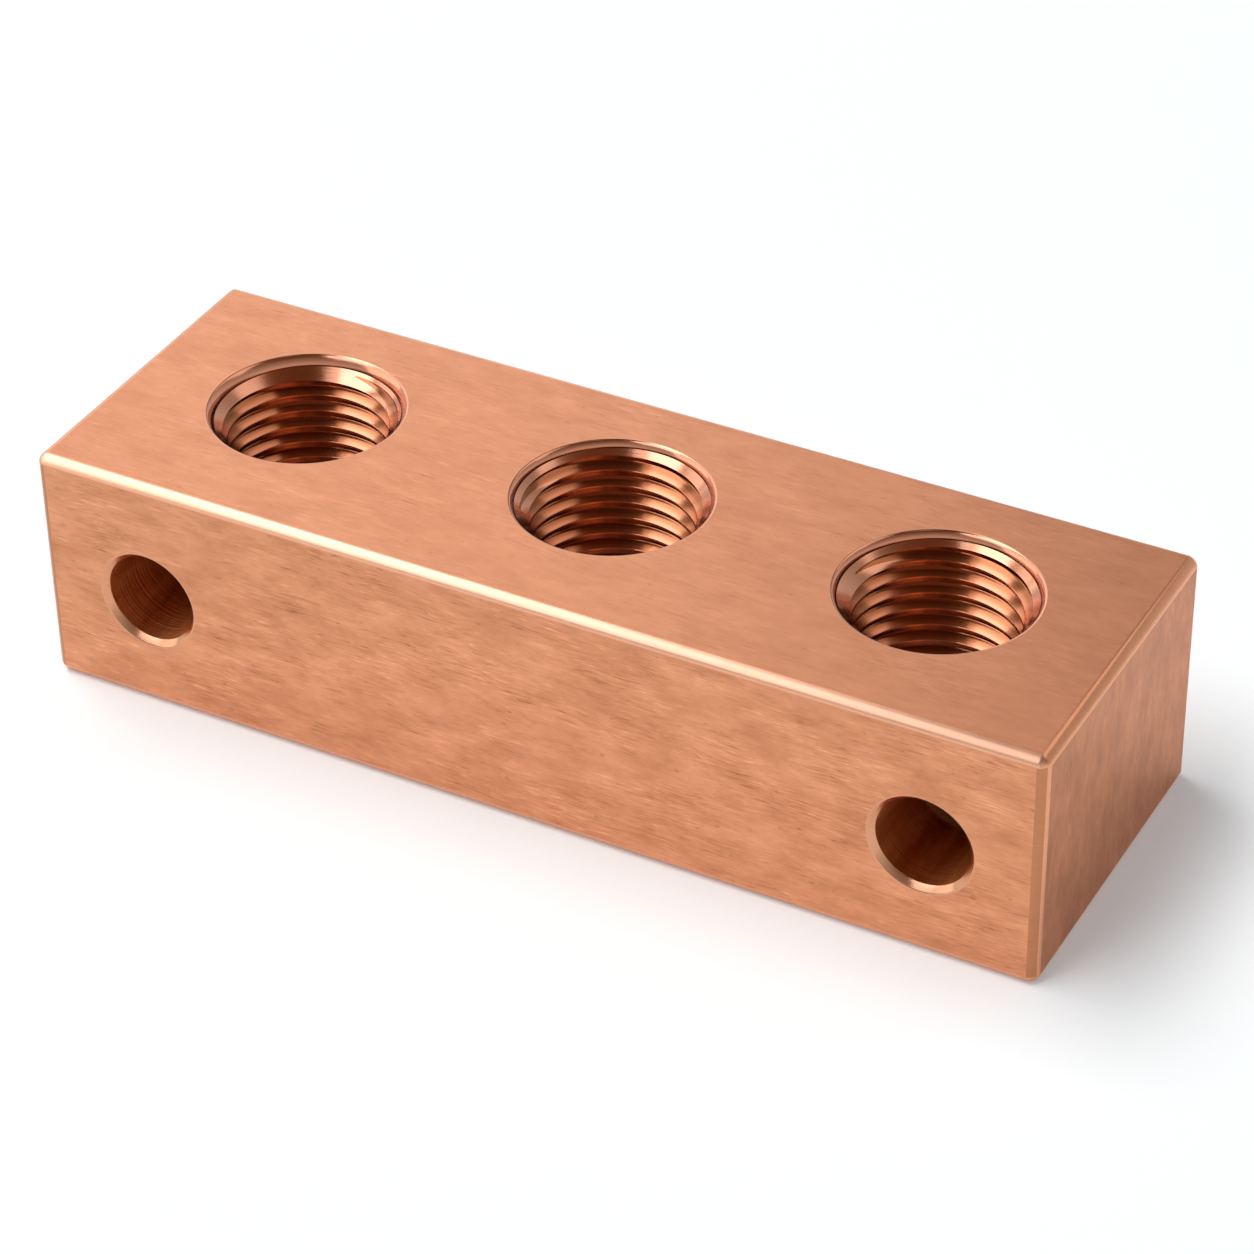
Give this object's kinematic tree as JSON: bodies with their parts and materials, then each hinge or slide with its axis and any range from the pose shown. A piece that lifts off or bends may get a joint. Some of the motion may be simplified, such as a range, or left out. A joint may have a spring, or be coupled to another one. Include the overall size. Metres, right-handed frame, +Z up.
{
  "type": "busbar connection block",
  "caption": "Solid copper busbar connection block: a chamfered bar with a row of threaded terminal holes in its top and a plain blind hole near each end of its front face.",
  "frame": {"origin": "middle of the base face, where the block rests", "axes": "+X along the length, +Z up out of the tapped top face, -Y out of the front face with the side holes"},
  "size_m": [0.072, 0.024, 0.0175],
  "materials": {
    "copper": "bare copper, milled and brushed to a fine satin along its length"
  },
  "bodies": {
    "root": {"connection_block": "copper"}
  },
  "joints": []
}
